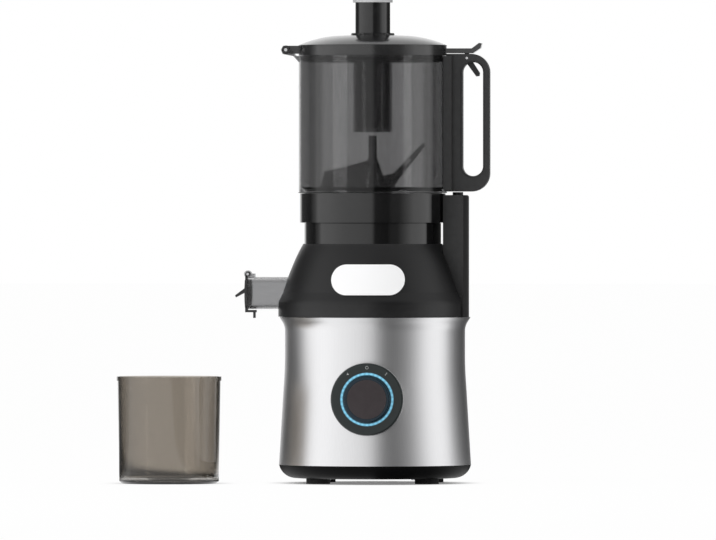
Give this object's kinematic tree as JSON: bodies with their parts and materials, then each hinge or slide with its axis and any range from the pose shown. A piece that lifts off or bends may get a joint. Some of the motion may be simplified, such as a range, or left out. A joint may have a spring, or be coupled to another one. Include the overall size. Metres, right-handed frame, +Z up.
{
  "type": "cold press juicer",
  "caption": "Upright slow juicer with a round silver base, front knob, dark bowl, wide smoky jar, D handle, hinged lid with pusher, side spout with drip cap, and a clear cup.",
  "frame": {"origin": "on the juicing axis, at the surface that the feet stand on", "axes": "+X to the right of someone facing the knob, +Y away from them, +Z up along the juicing axis"},
  "size_m": [0.3534, 0.2014, 0.4645],
  "materials": {
    "black_plastic": "satin black moulded plastic",
    "rubber": "matt black rubber",
    "silver": "satin silver with an upright grain",
    "badge": "near-white gloss",
    "light": "frosted pale blue light guide",
    "knob_black": "blue-black gloss",
    "knob_face": "brown-black satin",
    "smoke": "smoky clear plastic",
    "dark_smoke": "very dark smoky plastic",
    "grey_plastic": "grey half-clear plastic",
    "cap_grey": "light grey satin",
    "pusher_black": "dark gloss plastic",
    "steel": "bright steel",
    "iron": "stacked sheet iron",
    "copper": "varnished copper wire",
    "white_nylon": "off-white nylon",
    "alloy": "cast alloy",
    "board": "green circuit board",
    "switch": "dark switch body"
  },
  "bodies": {
    "base": {"plinth": "black_plastic", "rubber_feet": "rubber", "base_screws": "steel", "support_posts": "alloy", "silver_shell": "silver", "top_deck": "black_plastic", "deck_seal": "rubber", "column_cover": "black_plastic", "interlock_switch": "switch", "bezel": "black_plastic", "light_board": "board", "light_ring": "light", "knob_switch": "switch", "control_board": "board", "board_carrier": "black_plastic", "cord_gland": "rubber", "motor_can": "iron", "stator_core": "iron", "stator_windings": "copper", "lower_bearing": "steel", "upper_bearing": "steel", "gearbox_floor": "alloy", "cluster_axle": "steel", "gearbox_cover": "alloy", "output_bearings": "steel"},
    "knob": {"control_knob": "knob_black", "knob_cap": "knob_face"},
    "rotor": {"rotor": "iron", "motor_pinion": "steel", "cooling_fan": "white_nylon"},
    "cluster": {"gear_cluster": "white_nylon"},
    "output": {"output_shaft": "steel", "output_gear": "white_nylon"},
    "plunger": {"interlock_plunger": "black_plastic"},
    "bowl": {"juicing_bowl": "dark_smoke", "skirt": "black_plastic", "badge_plate": "badge", "juice_spout": "grey_plastic", "cap_hinge_pin": "steel", "pulp_spout": "black_plastic", "strainer_frame": "pusher_black", "strainer_screen": "steel", "auger_bush": "white_nylon"},
    "auger": {"auger": "pusher_black", "auger_insert": "steel"},
    "drip_cap": {"drip_cap": "grey_plastic", "drip_plug": "rubber"},
    "jar": {"jar": "smoke", "handle": "black_plastic", "lid_hinge_pin": "steel", "trigger_pin": "steel", "trigger_spring": "steel"},
    "trigger": {"lid_trigger": "black_plastic"},
    "lid": {"lid": "grey_plastic", "lid_seal": "rubber", "feed_tube": "smoke"},
    "pusher": {"pusher": "pusher_black", "pusher_cap": "cap_grey"},
    "cup": {"cup": "smoke"}
  },
  "joints": [
    {"name": "knob_turn", "type": "hinge", "parent": "base", "child": "knob", "pos_m": [0, -0.09, 0.0808], "axis": [0, 1, 0], "range_deg": [-37, 37]},
    {"name": "rotor_spin", "type": "hinge", "parent": "base", "child": "rotor", "pos_m": [0, 0, 0.06], "axis": [0, 0, 1], "continuous": true},
    {"name": "cluster_spin", "type": "hinge", "parent": "base", "child": "cluster", "pos_m": [0, 0.036, 0.105], "axis": [0, 0, 1], "continuous": true},
    {"name": "output_spin", "type": "hinge", "parent": "base", "child": "output", "pos_m": [0, 0, 0.13], "axis": [0, 0, 1], "continuous": true},
    {"name": "plunger_press", "type": "slide", "parent": "base", "child": "plunger", "axis": [0, 0, -1], "range_m": [0, 0.0025], "stiffness_N_per_m": 300},
    {"name": "bowl_lift", "type": "slide", "parent": "base", "child": "bowl", "axis": [0, 0, 1], "range_m": [0, 0.13]},
    {"name": "auger_spin", "type": "hinge", "parent": "bowl", "child": "auger", "pos_m": [0, 0, 0.17], "axis": [0, 0, 1], "continuous": true},
    {"name": "drip_cap_swing", "type": "hinge", "parent": "bowl", "child": "drip_cap", "pos_m": [-0.1186, 0, 0.1985], "axis": [0, 1, 0], "range_deg": [0, 105]},
    {"name": "jar_lift", "type": "slide", "parent": "bowl", "child": "jar", "axis": [0, 0, 1], "range_m": [0, 0.09]},
    {"name": "trigger_squeeze", "type": "hinge", "parent": "jar", "child": "trigger", "pos_m": [0.09, 0, 0.4036], "axis": [0, -1, 0], "range_deg": [0, 9], "stiffness_Nm_per_rad": 0.2},
    {"name": "lid_open", "type": "hinge", "parent": "jar", "child": "lid", "pos_m": [-0.082, 0, 0.4115], "axis": [0, -1, 0], "range_deg": [0, 100]},
    {"name": "pusher_lift", "type": "slide", "parent": "lid", "child": "pusher", "axis": [0, 0, 1], "range_m": [0, 0.1]},
    {"name": "cup_lift", "type": "slide", "parent": "base", "child": "cup", "axis": [0, 0, 1], "range_m": [0, 0.12]}
  ],
  "couplings": [
    {"joint": "cluster_spin", "follows": "rotor_spin", "ratio": -0.17073},
    {"joint": "output_spin", "follows": "rotor_spin", "ratio": 0.047224},
    {"joint": "auger_spin", "follows": "rotor_spin", "ratio": 0.047224}
  ]
}
